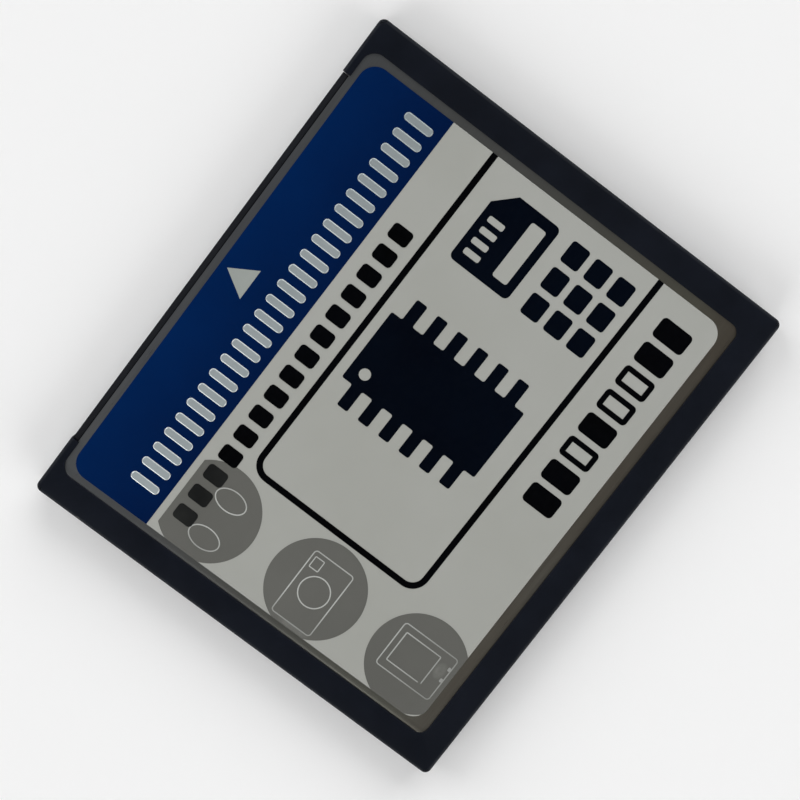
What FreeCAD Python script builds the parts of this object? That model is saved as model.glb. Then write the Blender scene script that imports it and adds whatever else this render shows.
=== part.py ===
import FreeCAD, Part
import os

# A solid-state memory card: two moulded half frames with steel covers around a circuit board and a
# 50-way socket. All lengths are in millimetres. X runs across the card, Y towards the socket and Z
# up from the face the card lies on to the label. The origin is at the middle of the underside.

# Outer size of the card
card_width = 42.8
card_length = 36.4
card_thickness = 3.3
corner_radius = 0.5
edge_bevel = 0.2
seam_bevel = 0.06

# Plastic seen around each steel cover
rail_face = 2.23
finger_face = 2.12
horn_face = 0.69
front_window_radius = 1.05
back_window_radius = 0.75

# Steel covers, moulded in under a thin lip
lip_thickness = 0.2
cover_thickness = 0.15
cover_grip = 0.5
cover_corner = 0.5
cover_setback = 0.59

# Walls inside the frame
ledge = 0.25
shelf_width = 0.7
horn_depth = 2.0
stop_length = 1.0
stop_width = 0.9

# Guide grooves in the two sides. The two heights differ, so the card goes in one way up only.
groove_depth = 1.0
groove_length = 25.78
wide_groove_low = 0.76
wide_groove_high = 2.44
narrow_groove_low = 1.01
narrow_groove_high = 2.15
groove_lead_in = 0.3

# Locating tabs between the half frames
tab_length = 1.4
tab_width = 0.8
tab_height = 0.8
tab_clearance = 0.04

# Printed label, stuck a little off the middle of the window
label_side_margin = 0.62
label_front_margin = 0.48
label_back_margin = 0.91
label_shift = -0.05
label_thickness = 0.1
label_radius = 1.2

# Socket housing, as wide as the gap between the horns
horn_width = 4.75
contacts_per_row = 25
row_spacing = 1.27
housing_end = 1.36
housing_depth = 5.5
housing_clearance = 0.05
face_setback = 0.1
flange_gap = 0.08
flange_drop = 0.2
ear_clearance = 0.15
ear_length = 2.0
height_clearance = 0.02

# One socket
mouth_size = 0.95
throat_size = 0.6
mouth_depth = 0.35
throat_depth = 0.9
cavity_width = 0.4
cavity_height = 0.9

# One fork contact, stamped from sheet
contact_thickness = 0.3
tine_gap = 0.44
grip_gap = 0.34
tip_gap = 0.56
tip_setback = 0.15
tip_length = 0.35
fork_length = 2.5
tail_thickness = 0.2
foot_length = 1.3

# Circuit board
board_thickness = 0.5
board_side_clearance = 0.1
board_face_clearance = 0.02
board_front_gap = 0.2

# Memory package
flash_length = 18.4
flash_width = 12.0
flash_thickness = 0.95
flash_leads_per_end = 24

# Controller package
controller_size = 10.0
controller_thickness = 0.95
controller_leads_per_side = 16

# Values both packages share
standoff = 0.05
package_draft = 0.08
lead_pitch = 0.5
lead_width = 0.2
lead_thickness = 0.12
lead_shoulder = 0.2
lead_slope = 0.15
lead_foot = 0.45
package_gap = 1.5

# Small ceramic parts and insulating films
capacitor_length = 1.6
capacitor_width = 0.8
capacitor_height = 0.8
capacitors_per_side = 4
capacitor_pitch = 2.6
resistor_length = 1.0
resistor_width = 0.5
resistor_height = 0.35
resistor_count = 6
resistor_pitch = 1.2
part_gap = 1.2
film_thickness = 0.05
film_clearance = 0.1

# Heights and lines that several pieces share
seam = card_thickness / 2
front = card_length / 2
side = card_width / 2
cover_outer = seam - lip_thickness
cover_inner = cover_outer - cover_thickness
window_side = side - rail_face
window_front = front - horn_face
window_back = finger_face - front
wall_inner = window_side - ledge
back_inner = front - finger_face - ledge
horn_back = front - horn_depth
opening_half = side - horn_width
housing_half = opening_half - housing_clearance
contact_pitch = 2 * (housing_half - housing_end) / (contacts_per_row - 1)
face = front - face_setback
housing_back = face - housing_depth
ear_front = horn_back - housing_clearance
ear_back = ear_front - ear_length
stop_front = ear_back - housing_clearance
board_half = board_thickness / 2
board_front = housing_back - board_front_gap
board_back = board_side_clearance - back_inner
board_side = wall_inner - board_side_clearance
slot_half = board_half + board_face_clearance
chamber_side = wall_inner - shelf_width
chamber_back = shelf_width - back_inner
middle_along = (board_front - foot_length + chamber_back) / 2
# how far a cut reaches past the solid that it opens, and the least length that counts
beyond = 1.0
tiny = 1e-6

os.makedirs("parts", exist_ok=True)


def save(name, shape):
    """Write one piece to its own file."""
    shape.exportStep("parts/" + name + ".step")
    print(name, "solids", len(shape.Solids), "volume", round(shape.Volume, 3))


def block(x0, x1, y0, y1, z0, z1):
    """A box between two opposite corners."""
    return Part.makeBox(x1 - x0, y1 - y0, z1 - z0, FreeCAD.Vector(x0, y0, z0))


def upright_edges(shape, test):
    """The edges along Z whose middle passes the test."""
    found = []
    for edge in shape.Edges:
        box = edge.BoundBox
        if box.XLength < tiny and box.YLength < tiny and test(edge.CenterOfMass):
            found.append(edge)
    return found


def round_block(x0, x1, y0, y1, z0, z1, back_radius, front_radius):
    """A box with its four upright edges rounded, at the back and at the front by their own radius."""
    shape = block(x0, x1, y0, y1, z0, z1)
    middle = (y0 + y1) / 2
    shape = shape.makeFillet(back_radius, upright_edges(shape, lambda point: point.y < middle))
    return shape.makeFillet(front_radius, upright_edges(shape, lambda point: point.y > middle))


def turn_over(shape):
    """Half a turn about Y, which takes an upper piece to the underside."""
    return shape.rotated(FreeCAD.Vector(0, 0, 0), FreeCAD.Vector(0, 1, 0), 180)


def lift(shape):
    """From the seam at height 0 to the seam's height in the card."""
    return shape.translated(FreeCAD.Vector(0, 0, seam))


def groove(side_sign, rise):
    """The half of a guide groove that lies above the seam, with a sloped mouth at the front."""
    bottom = side - groove_depth
    slot = block(bottom, side + beyond, front - groove_length, front + beyond, -beyond, rise)
    slope_start = front - groove_lead_in
    slope_end = front + groove_lead_in
    points = [
        FreeCAD.Vector(bottom, slope_start, 0),
        FreeCAD.Vector(bottom, slope_start, rise),
        FreeCAD.Vector(bottom, slope_end, rise + 2 * groove_lead_in),
        FreeCAD.Vector(bottom, slope_end, 0),
    ]
    profile = Part.Face(Part.makePolygon(points + points[:1]))
    slot = slot.fuse(profile.extrude(FreeCAD.Vector(groove_depth + beyond, 0, 0)))
    if side_sign < 0:
        slot = slot.mirror(FreeCAD.Vector(0, 0, 0), FreeCAD.Vector(1, 0, 0))
    return slot


def half_frame(left_rise, right_rise):
    """One half frame with its seam at height 0 and its outer face up."""
    shape = round_block(-side, side, -front, front, 0, seam, corner_radius, corner_radius)
    outline = [edge for edge in shape.Edges if edge.BoundBox.ZMin > seam - tiny]
    shape = shape.makeChamfer(edge_bevel, outline)
    outline = [edge for edge in shape.Edges if edge.BoundBox.ZMax < tiny]
    shape = shape.makeChamfer(seam_bevel, outline)
    # chamber for the packages, and the wider slot that holds the edge of the board
    shape = shape.cut(block(-chamber_side, chamber_side, chamber_back, horn_back, -beyond, cover_inner))
    slot_front = board_front + board_side_clearance
    shape = shape.cut(block(-wall_inner, wall_inner, -back_inner, slot_front, -beyond, slot_half))
    # stops behind the ears of the socket housing
    stop_back = stop_front - stop_length
    stop_inner = chamber_side - stop_width
    shape = shape.fuse(block(stop_inner, chamber_side, stop_back, stop_front, 0, cover_inner))
    shape = shape.fuse(block(-chamber_side, -stop_inner, stop_back, stop_front, 0, cover_inner))
    # gap between the horns for the socket housing
    shape = shape.cut(block(-opening_half, opening_half, horn_back, front + beyond, -beyond, seam + beyond))
    # window in the outer face, and the slot that grips the cover under the lip
    window = round_block(-window_side, window_side, window_back, window_front, cover_outer,
                         seam + beyond, back_window_radius, front_window_radius)
    shape = shape.cut(window)
    shape = shape.cut(cover_at(cover_inner))
    shape = shape.cut(groove(-1, left_rise))
    return shape.cut(groove(1, right_rise)).removeSplitter()


def cover_at(height):
    """A steel cover with clipped corners and its lower face at the height."""
    cover_side = window_side + cover_grip
    cover_back = window_back - cover_grip
    cover_front = front - cover_setback
    sheet = block(-cover_side, cover_side, cover_back, cover_front, height, height + cover_thickness)
    return sheet.makeChamfer(cover_corner, upright_edges(sheet, lambda point: True))


def tabs(low, high, room):
    """The four locating tabs between two heights, with room around each."""
    horn_middle = (opening_half + side - groove_depth) / 2
    corner_middle = (wall_inner + side) / 2
    back_middle = -(back_inner + front) / 2
    spots = [
        (-horn_middle, front - horn_depth / 2),
        (horn_middle, front - horn_depth / 2),
        (-corner_middle, back_middle),
        (corner_middle, back_middle),
    ]
    half_length = tab_length / 2 + room
    half_width = tab_width / 2 + room
    solids = []
    for x, y in spots:
        solids.append(block(x - half_length, x + half_length, y - half_width, y + half_width, low, high))
    return Part.makeCompound(solids)


# Upper half frame, with the blind pockets for the tabs
upper_frame = half_frame(wide_groove_high - seam, narrow_groove_high - seam)
upper_frame = upper_frame.cut(tabs(-beyond, tab_height + tab_clearance, tab_clearance))
save("upper_frame", lift(upper_frame))

# Lower half frame, built the same way up and then turned over, so left and right change places
lower_frame = turn_over(half_frame(seam - narrow_groove_low, seam - wide_groove_low))
lower_frame = lower_frame.fuse(tabs(0, tab_height, 0))
save("lower_frame", lift(lower_frame.removeSplitter()))

# Steel covers and the label
save("upper_cover", lift(cover_at(cover_inner)))
save("lower_cover", lift(turn_over(cover_at(cover_inner))))
label_half = window_side - label_side_margin
label_bottom = seam + cover_outer
front_label = round_block(label_shift - label_half, label_shift + label_half, window_back + label_back_margin,
                          window_front - label_front_margin, label_bottom, label_bottom + label_thickness,
                          label_radius, label_radius)
save("front_label", front_label)


def socket_places():
    """Column place and row sign of each contact, the lower row first."""
    first = -(contacts_per_row - 1) * contact_pitch / 2
    for row in (-1, 1):
        for column in range(contacts_per_row):
            yield first + column * contact_pitch, row


# Socket housing: body between the covers, flange in front of their edges, ears behind the horns
body_half = cover_inner - height_clearance
flange_back = front - cover_setback + flange_gap
flange_half = seam - flange_drop
housing = block(-housing_half, housing_half, housing_back, face, -body_half, body_half)
housing = housing.fuse(block(-housing_half, housing_half, flange_back, face, -flange_half, flange_half))
ear_half = chamber_side - ear_clearance
housing = housing.fuse(block(-ear_half, ear_half, ear_back, ear_front, -body_half, body_half))
housing = housing.removeSplitter()
mouths = []
throats = []
cavities = []
for x, row in socket_places():
    z = row * row_spacing / 2
    wide = mouth_size / 2
    narrow = throat_size / 2
    throat_front = face - mouth_depth
    throat_back = face - throat_depth
    mouths.append(Part.makeWedge(x - narrow, throat_front, z - narrow, z - wide, x - wide,
                                 x + narrow, face, z + narrow, z + wide, x + wide))
    throats.append(block(x - narrow, x + narrow, throat_back, throat_front, z - narrow, z + narrow))
    cavities.append(block(x - cavity_width / 2, x + cavity_width / 2, housing_back - beyond, throat_back,
                          z - cavity_height / 2, z + cavity_height / 2))
for tools in (mouths, throats, cavities):
    housing = housing.cut(Part.makeCompound(tools))
save("connector_housing", lift(housing))


def contact(x, row):
    """A fork contact cut from sheet in the YZ plane, its straight edge on the face of the board."""
    tip = face - throat_depth - tip_setback
    root = tip - fork_length
    foot_end = board_front - foot_length
    # the edge towards the board sets the height of the whole fork
    outer = row_spacing / 2 - board_half
    outline = [
        (tip, outer),
        (tip, tip_gap / 2),
        (tip - tip_length, grip_gap / 2),
        (root, tine_gap / 2),
        (root, -tine_gap / 2),
        (tip - tip_length, -grip_gap / 2),
        (tip, -tip_gap / 2),
        (tip, -outer),
        (foot_end, -outer),
        (foot_end, tail_thickness - outer),
        (housing_back, tail_thickness - outer),
        (housing_back, outer),
    ]
    points = []
    for y, z in outline:
        points.append(FreeCAD.Vector(x - contact_thickness / 2, y, row * (row_spacing / 2 + z)))
    sheet = Part.Face(Part.makePolygon(points + points[:1]))
    return sheet.extrude(FreeCAD.Vector(contact_thickness, 0, 0))


lower_row = []
upper_row = []
for x, row in socket_places():
    if row < 0:
        lower_row.append(contact(x, row))
    else:
        upper_row.append(contact(x, row))
save("upper_contacts", lift(Part.makeCompound(upper_row)))
save("lower_contacts", lift(Part.makeCompound(lower_row)))

# Circuit board, its edge in the slot between the half frames
board = block(-board_side, board_side, board_back, board_front, -board_half, board_half)
save("circuit_board", lift(board))


def rectangle(length, width, height):
    """A closed outline about the Z axis."""
    points = [
        FreeCAD.Vector(-length / 2, -width / 2, height),
        FreeCAD.Vector(length / 2, -width / 2, height),
        FreeCAD.Vector(length / 2, width / 2, height),
        FreeCAD.Vector(-length / 2, width / 2, height),
    ]
    return Part.makePolygon(points + points[:1])


def package(length, width, thickness):
    """A moulded body with draft above and below its parting line, its underside at height 0."""
    narrow = 2 * package_draft
    low = rectangle(length - narrow, width - narrow, 0)
    parting = rectangle(length, width, thickness / 2)
    high = rectangle(length - narrow, width - narrow, thickness)
    lower = Part.makeLoft([low, parting], True, True)
    upper = Part.makeLoft([parting, high], True, True)
    return lower.fuse(upper)


def lead(thickness):
    """One gull-wing lead from the middle of a package's side at X = 0 out along X to the board."""
    top = standoff + thickness / 2
    knee = lead_shoulder
    heel = lead_shoulder + lead_slope
    toe = heel + lead_foot
    outline = [
        (0, top),
        (knee + lead_thickness, top),
        (heel + lead_thickness, lead_thickness),
        (toe, lead_thickness),
        (toe, 0),
        (heel, 0),
        (knee, top - lead_thickness),
        (0, top - lead_thickness),
    ]
    points = []
    for x, z in outline:
        points.append(FreeCAD.Vector(x, -lead_width / 2, z))
    return Part.Face(Part.makePolygon(points + points[:1])).extrude(FreeCAD.Vector(0, lead_width, 0))


def lead_row(thickness, reach, count):
    """A row of leads along the side of a package that lies at the reach along X."""
    row = []
    first = -(count - 1) * lead_pitch / 2
    for number in range(count):
        row.append(lead(thickness).translated(FreeCAD.Vector(reach, first + number * lead_pitch, 0)))
    return row


def turned(shapes, angle):
    """The shapes turned about the Z axis."""
    return [shape.rotated(FreeCAD.Vector(0, 0, 0), FreeCAD.Vector(0, 0, 1), angle) for shape in shapes]


def place_on_board(shape, x, y):
    """From height 0 to the upper face of the board."""
    return shape.translated(FreeCAD.Vector(x, y, board_half))


# Packages: leads of a memory package leave its two ends, leads of the controller its four sides.
# Each lead starts at the parting line, where the body is at its widest.
flash_body = package(flash_length, flash_width, flash_thickness).translated(FreeCAD.Vector(0, 0, standoff))
flash_end = lead_row(flash_thickness, flash_length / 2, flash_leads_per_end)
flash_leads = Part.makeCompound(flash_end + turned(flash_end, 180)).cut(flash_body)
controller_body = package(controller_size, controller_size, controller_thickness)
controller_body = controller_body.translated(FreeCAD.Vector(0, 0, standoff))
controller_side = lead_row(controller_thickness, controller_size / 2, controller_leads_per_side)
controller_all = []
for angle in (0, 90, 180, 270):
    controller_all.extend(turned(controller_side, angle))
controller_leads = Part.makeCompound(controller_all).cut(controller_body)

# The upper memory package and the controller lie side by side about the middle of the board
lead_reach = lead_shoulder + lead_slope + lead_foot
controller_span = controller_size + 2 * lead_reach
pair_width = flash_width + package_gap + controller_span
flash_across = (flash_width - pair_width) / 2
controller_across = (pair_width - controller_span) / 2
for name, shape in (("body", flash_body), ("leads", flash_leads)):
    along = shape.copy()
    along.rotate(FreeCAD.Vector(0, 0, 0), FreeCAD.Vector(0, 0, 1), 90)
    save("upper_flash_" + name, lift(place_on_board(along, flash_across, middle_along)))
    save("lower_flash_" + name, lift(turn_over(place_on_board(shape, 0, middle_along))))
save("controller_body", lift(place_on_board(controller_body, controller_across, middle_along)))
save("controller_leads", lift(place_on_board(controller_leads, controller_across, middle_along)))

# Capacitors in a column beyond each package, resistors in a row in front of the controller
column_across = pair_width / 2 + part_gap
for number in range(2 * capacitors_per_side):
    sign = -1 if number < capacitors_per_side else 1
    step = number % capacitors_per_side - (capacitors_per_side - 1) / 2
    shape = block(-capacitor_width / 2, capacitor_width / 2, -capacitor_length / 2, capacitor_length / 2,
                  0, capacitor_height)
    shape = place_on_board(shape, sign * column_across, middle_along + step * capacitor_pitch)
    save("capacitor_" + str(number + 1), lift(shape))
row_along = middle_along + controller_span / 2 + part_gap
for number in range(resistor_count):
    step = number - (resistor_count - 1) / 2
    shape = block(-resistor_width / 2, resistor_width / 2, -resistor_length / 2, resistor_length / 2,
                  0, resistor_height)
    shape = place_on_board(shape, controller_across + step * resistor_pitch, row_along)
    save("resistor_" + str(number + 1), lift(shape))

# Insulating films on the inner faces of the covers, behind the socket housing
film_side = chamber_side - film_clearance
film_front = min(housing_back, stop_front - stop_length) - film_clearance
film = block(-film_side, film_side, chamber_back + film_clearance, film_front,
             cover_inner - film_thickness, cover_inner)
save("upper_insulator", lift(film))
save("lower_insulator", lift(turn_over(film)))
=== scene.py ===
# %% [markdown]
# A solid-state memory card, dressed in Blender.
# The real card is a flat box of black plastic and thin steel with a printed film on top. Its solids are
# already made and packed, so this lesson starts from them and adds what solids can't show: softened edges,
# finishes, the printed film and the light. Every piece ends up in metres, in the frame of the solids.

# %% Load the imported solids
import math

import bmesh
import bpy
from mathutils import Matrix, Vector


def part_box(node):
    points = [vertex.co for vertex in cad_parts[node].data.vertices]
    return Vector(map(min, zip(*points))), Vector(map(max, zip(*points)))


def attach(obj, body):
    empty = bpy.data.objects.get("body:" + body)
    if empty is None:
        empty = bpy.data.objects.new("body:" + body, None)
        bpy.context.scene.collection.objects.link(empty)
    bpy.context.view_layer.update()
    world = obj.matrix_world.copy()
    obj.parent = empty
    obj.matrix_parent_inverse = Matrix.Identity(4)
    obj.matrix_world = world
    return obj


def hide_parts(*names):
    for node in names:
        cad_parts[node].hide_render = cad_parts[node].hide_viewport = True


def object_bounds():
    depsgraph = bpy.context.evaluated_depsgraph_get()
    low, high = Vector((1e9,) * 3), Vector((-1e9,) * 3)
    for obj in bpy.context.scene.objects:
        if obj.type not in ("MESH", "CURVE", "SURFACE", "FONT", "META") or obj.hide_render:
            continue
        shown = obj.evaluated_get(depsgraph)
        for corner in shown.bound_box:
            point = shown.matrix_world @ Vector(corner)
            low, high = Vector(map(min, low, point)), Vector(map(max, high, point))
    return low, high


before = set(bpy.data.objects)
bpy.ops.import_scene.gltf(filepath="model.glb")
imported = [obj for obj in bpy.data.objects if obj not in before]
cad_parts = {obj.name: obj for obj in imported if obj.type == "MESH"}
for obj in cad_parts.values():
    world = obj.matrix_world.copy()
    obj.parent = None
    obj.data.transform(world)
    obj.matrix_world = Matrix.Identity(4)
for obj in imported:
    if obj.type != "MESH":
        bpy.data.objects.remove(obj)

cad_low, cad_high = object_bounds()
mm = 0.001
print("solids:", len(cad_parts), "size in mm:", [round(side / mm, 2) for side in cad_high - cad_low])

# %% [markdown]
# Colours are written as a picture program shows them, from 0 to 255, because that is how a paint or an ink is
# usually noted down. Blender's sockets take straight light levels, so one small function turns one into the
# other by the sRGB curve. The view transform is Standard, so that a colour comes out about as it is written.

# %% Colours as written
scene = bpy.context.scene
scene.view_settings.view_transform = "Standard"


def straight_level(level):
    share = level / 255
    if share <= 0.04045:
        return share / 12.92
    return ((share + 0.055) / 1.055) ** 2.4


def paint(red, green, blue):
    return (straight_level(red), straight_level(green), straight_level(blue), 1.0)


print("mid grey as a straight level:", round(paint(128, 128, 128)[0], 3))

# %% [markdown]
# The card was photographed from almost straight above, turned so that its socket end points up and to the
# left. The camera could be turned by three angles, but a place, a target and an up direction are easier to
# check against a picture, so the turn is worked out from those.

# %% The camera
camera_place = Vector((14.82, 9.59, 133.89)) * mm
camera_target = Vector((0.15, 0.59, 3.30)) * mm
camera_up = Vector((0.7902, 0.5992, -0.1283))

looking = (camera_target - camera_place).normalized()
to_right = looking.cross(camera_up).normalized()
upright = to_right.cross(looking)
turn = Matrix((to_right, upright, -looking)).transposed()

camera_data = bpy.data.cameras.new("studio_camera")
camera_data.lens = 81
camera_data.sensor_width = 36
camera_data.clip_start = 0.01
camera_data.clip_end = 10
camera = bpy.data.objects.new("studio_camera", camera_data)
camera.matrix_world = Matrix.Translation(camera_place) @ turn.to_4x4()
scene.collection.objects.link(camera)
scene.camera = camera
print("camera height in mm:", round(camera.matrix_world.translation.z / mm, 1))

# %% [markdown]
# A finish is a tree of nodes, and a few short helpers keep the trees readable. One starts a material and
# hands back its shader and its Object coordinates, one links or sets an input, and the others add a sum or a
# change of range and hand back its result. A socket knows its tree as id_data, so no helper is told the tree.

# %% Helpers for nodes
def start_material(name):
    material = bpy.data.materials.new(name)
    material.use_nodes = True
    nodes = material.node_tree.nodes
    surface = nodes["Principled BSDF"]
    place = nodes.new("ShaderNodeTexCoord").outputs["Object"]
    return material, surface, place


def connect(value, socket):
    if isinstance(value, bpy.types.NodeSocket):
        socket.id_data.links.new(value, socket)
    else:
        socket.default_value = value


def work_out(operation, first, second=0.0, third=0.0):
    node = first.id_data.nodes.new("ShaderNodeMath")
    node.operation = operation
    connect(first, node.inputs[0])
    connect(second, node.inputs[1])
    connect(third, node.inputs[2])
    return node.outputs["Value"]


def times(first, second):
    return work_out("MULTIPLY", first, second)


def middle_of(first, second):
    return work_out("MULTIPLY_ADD", first, 0.5, times(second, 0.5))


def between(value, low, high, to_low=0.0, to_high=1.0):
    node = value.id_data.nodes.new("ShaderNodeMapRange")
    connect(value, node.inputs["Value"])
    connect(low, node.inputs["From Min"])
    connect(high, node.inputs["From Max"])
    connect(to_low, node.inputs["To Min"])
    connect(to_high, node.inputs["To Max"])
    return node.outputs["Result"]


def spread(share, low, high):
    return between(share, 0.0, 1.0, low, high)


print("helpers for nodes are ready")

# %% [markdown]
# Colours and directions have nodes of their own. The last two helpers set a shader: one its colour and a
# roughness that varies between two values, the other a Bump node that tilts the surface by a height.

# %% Helpers for colours, directions and shaders
def blend_colours(share, first, second):
    node = share.id_data.nodes.new("ShaderNodeMix")
    node.data_type = "RGBA"
    connect(share, node.inputs["Factor"])
    connect(first, node.inputs["A"])
    connect(second, node.inputs["B"])
    return node.outputs["Result"]


def along_axes(place):
    axes = place.id_data.nodes.new("ShaderNodeSeparateXYZ")
    connect(place, axes.inputs["Vector"])
    return axes.outputs


def on_vectors(operation, first, second):
    node = first.id_data.nodes.new("ShaderNodeVectorMath")
    node.operation = operation
    connect(first, node.inputs[0])
    connect(second, node.inputs[1])
    return node.outputs["Vector"]


def set_look(surface, colour, uneven, roughness):
    connect(colour, surface.inputs["Base Color"])
    connect(spread(uneven, *roughness), surface.inputs["Roughness"])


def raise_bumps(surface, height, strength, depth):
    bump = surface.id_data.nodes.new("ShaderNodeBump")
    bump.inputs["Strength"].default_value = strength
    bump.inputs["Distance"].default_value = depth
    connect(height, bump.inputs["Height"])
    connect(bump.outputs["Normal"], surface.inputs["Normal"])


print("helpers for colours, directions and shaders are ready")

# %% [markdown]
# An effect that several finishes share, such as grain or dust, is a shader node group. The nodes could be
# copied into every material, but a group is built once, has named inputs, and is placed in each material with
# its own values. Each group here puts out one value.

# %% Helpers for node groups
def start_group(name, vectors, values, result):
    group = bpy.data.node_groups.new(name, "ShaderNodeTree")
    for label in vectors:
        group.interface.new_socket(label, in_out="INPUT", socket_type="NodeSocketVector")
    for label in values:
        group.interface.new_socket(label, in_out="INPUT", socket_type="NodeSocketFloat")
    group.interface.new_socket(result, in_out="OUTPUT", socket_type="NodeSocketFloat")
    arriving = group.nodes.new("NodeGroupInput").outputs
    leaving = group.nodes.new("NodeGroupOutput").inputs[result]
    return group, arriving, leaving


def place_group(group, place, **values):
    node = place.id_data.nodes.new("ShaderNodeGroup")
    node.node_tree = group
    connect(place, node.inputs["Place"])
    for label, value in values.items():
        connect(value, node.inputs[label.replace("_", " ")])
    return node.outputs[0]


print("helpers for node groups are ready")

# %% [markdown]
# Grain. Moulded plastic, ink and film all vary a little from place to place, and their surface has a fine
# texture. Both come from the same noise at other scales. Most of the noise lies in the middle of its range,
# so that part is spread from 0 to 1, and each material decides what the value does: a tone, a roughness or a
# height.

# %% The grain group
noise_low, noise_high = 0.3, 0.7

grain_group, arriving, leaving = start_group("grain", ["Place"], ["Scale", "Detail"], "Value")
noise = grain_group.nodes.new("ShaderNodeTexNoise")
noise.inputs["Roughness"].default_value = 0.55
for label, socket in (("Place", "Vector"), ("Scale", "Scale"), ("Detail", "Detail")):
    connect(arriving[label], noise.inputs[socket])
connect(between(noise.outputs["Fac"], noise_low, noise_high), leaving)


def grain_at(place, scale, detail):
    return place_group(grain_group, place, Scale=scale, Detail=detail)


print("group:", grain_group.name)

# %% [markdown]
# Specks. A handled card carries a few specks of dust. Cells of a Voronoi pattern scatter them: a cell gets a
# speck only if its random number is below the wanted share, and the speck is the small round middle of the
# cell, larger in some cells than in others.

# %% The specks group
speck_group, arriving, leaving = start_group("specks", ["Place"], ["Scale", "Share", "Size"], "Mask")
cells = speck_group.nodes.new("ShaderNodeTexVoronoi")
connect(arriving["Place"], cells.inputs["Vector"])
connect(arriving["Scale"], cells.inputs["Scale"])
lot = speck_group.nodes.new("ShaderNodeSeparateColor")
connect(cells.outputs["Color"], lot.inputs["Color"])
chosen = work_out("LESS_THAN", lot.outputs["Red"], arriving["Share"])
radius = times(lot.outputs["Green"], arriving["Size"])
inside = work_out("LESS_THAN", cells.outputs["Distance"], radius)
connect(times(chosen, inside), leaving)


def specks_at(place, scale, share, size):
    return place_group(speck_group, place, Scale=scale, Share=share, Size=size)


print("group:", speck_group.name)

# %% [markdown]
# Edge wear and highlight. Sliding a card in and out polishes its outermost edges to a lighter tone, and the
# same lighter tone is also a painted highlight on those edges. An edge is where two faces meet, so the mask
# asks how near a point is to each pair of outer faces, and rises only where it is near to two pairs at once.
# Noise breaks it up.

# %% The edge wear and highlight group
edge_wear_and_highlight_group, arriving, leaving = start_group("edge wear and highlight", ["Place", "Middle", "Half Size"], ["Reach"], "Mask")
from_middle = on_vectors("SUBTRACT", arriving["Place"], arriving["Middle"])
from_middle = on_vectors("ABSOLUTE", from_middle, (0, 0, 0))
depth = along_axes(on_vectors("SUBTRACT", arriving["Half Size"], from_middle))
near_x, near_y, near_z = [between(depth[axis], arriving["Reach"], 0.0) for axis in "XYZ"]
upright_edge = times(near_x, near_y)
side_edge = times(near_x, near_z)
end_edge = times(near_y, near_z)
# the mask marks rubbed wear and a painted highlight along every outer edge
any_edge = work_out("MAXIMUM", upright_edge, work_out("MAXIMUM", side_edge, end_edge))
wear_and_highlight_patches = grain_at(arriving["Place"], scale=900.0, detail=3.0)
connect(times(any_edge, wear_and_highlight_patches), leaving)
print("group:", edge_wear_and_highlight_group.name)

# %% [markdown]
# Rolled lines. Sheet steel keeps fine lines from the rolls. Noise that is squeezed across and stretched along
# the rolling direction gives them, and the same group draws coarser hairlines when it is squeezed less.

# %% The rolled lines group
line_group, arriving, leaving = start_group("rolled lines", ["Place"], ["Along", "Across"], "Value")
axes = along_axes(arriving["Place"])
squeezed = line_group.nodes.new("ShaderNodeCombineXYZ")
for axis, stretch in (("X", "Along"), ("Y", "Across")):
    connect(times(axes[axis], arriving[stretch]), squeezed.inputs[axis])
streaks = line_group.nodes.new("ShaderNodeTexNoise")
streaks.inputs["Scale"].default_value = 1.0
streaks.inputs["Detail"].default_value = 3.0
connect(squeezed.outputs["Vector"], streaks.inputs["Vector"])
connect(between(streaks.outputs["Fac"], noise_low, noise_high), leaving)


def lines_at(place, along, across):
    return place_group(line_group, place, Along=along, Across=across)


print("group:", line_group.name)

# %% [markdown]
# Floor paint. The floor is matt and nearly white. From below it is clear: the Backfacing output picks a
# transparent shader there, so a view from below sees the underside of the card as on a glass table.

# %% Floor paint
floor_colour = paint(247, 247, 247)

floor_paint, surface = start_material("pale floor")[:2]
nodes = floor_paint.node_tree.nodes
surface.inputs["Base Color"].default_value = floor_colour
surface.inputs["Roughness"].default_value = 0.9
surface.inputs["Specular IOR Level"].default_value = 0.1
from_below = nodes.new("ShaderNodeNewGeometry").outputs["Backfacing"]
clear = nodes.new("ShaderNodeBsdfTransparent")
choice = nodes.new("ShaderNodeMixShader")
connect(from_below, choice.inputs["Fac"])
connect(surface.outputs["BSDF"], choice.inputs[1])
connect(clear.outputs["BSDF"], choice.inputs[2])
connect(choice.outputs["Shader"], nodes["Material Output"].inputs["Surface"])
print("finish:", floor_paint.name)

# %% [markdown]
# The floor is a pale sweep: a plane whose border curves up, so that a low view has no hard horizon. It has
# an opening under the card, a little smaller than the card and never seen from above, so that light from
# below reaches the underside.

# %% The floor
floor_drop = 0.02 * mm
opening_margin = 0.6 * mm
floor_half = 0.9
sweep_steps = [(floor_half, 0.0), (0.96, 0.004), (1.01, 0.024), (1.05, 0.074), (1.07, 0.164), (1.07, 0.314)]


def add_object(shape, name, material):
    mesh = bpy.data.meshes.new(name)
    shape.to_mesh(mesh)
    shape.free()
    mesh.materials.append(material)
    made = bpy.data.objects.new(name, mesh)
    scene.collection.objects.link(made)
    return made


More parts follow.
